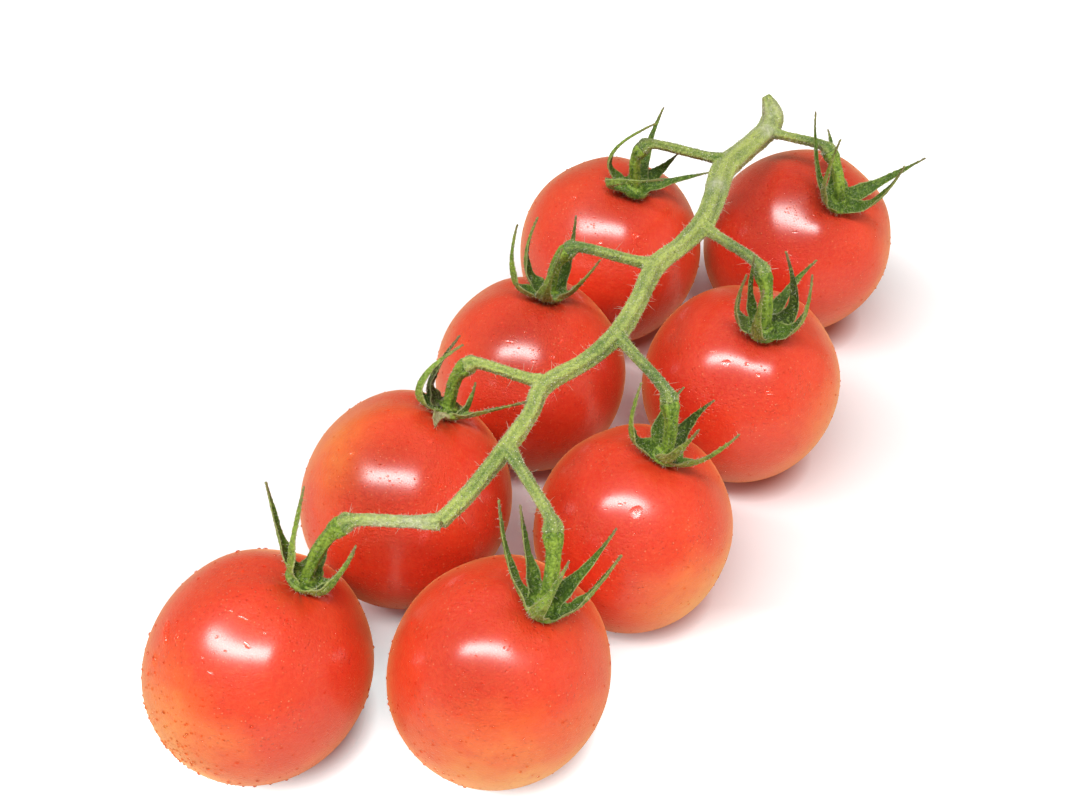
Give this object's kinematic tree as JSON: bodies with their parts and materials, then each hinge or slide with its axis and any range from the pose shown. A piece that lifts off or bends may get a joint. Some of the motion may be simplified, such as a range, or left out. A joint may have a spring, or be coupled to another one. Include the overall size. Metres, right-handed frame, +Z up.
{
  "type": "truss of tomatoes",
  "caption": "Truss of ripe round cherry tomatoes on a branching green stem, with jointed stalks and narrow-sepalled calyxes, lying flat on a surface.",
  "frame": {"origin": "on the table under the middle of the truss's bounding box", "axes": "+Z up, the main stem runs from the front left (-X, -Y) to its cut end at the back right (+X, +Y)"},
  "size_m": [0.1338, 0.1354, 0.0558],
  "materials": {
    "tomato_skin": "glossy ripe tomato skin, orange-red",
    "calyx_green": "matt, finely haired sepals and lower stalk",
    "stem_green": "matt, finely haired green stem"
  },
  "bodies": {
    "root": {"calyx_1": "calyx_green", "calyx_2": "calyx_green", "calyx_3": "calyx_green", "calyx_4": "calyx_green", "calyx_5": "calyx_green", "calyx_6": "calyx_green", "calyx_7": "calyx_green", "calyx_8": "calyx_green", "tomato_1": "tomato_skin", "tomato_2": "tomato_skin", "tomato_3": "tomato_skin", "tomato_4": "tomato_skin", "tomato_5": "tomato_skin", "tomato_6": "tomato_skin", "tomato_7": "tomato_skin", "tomato_8": "tomato_skin", "truss_stem": "stem_green"}
  },
  "joints": []
}
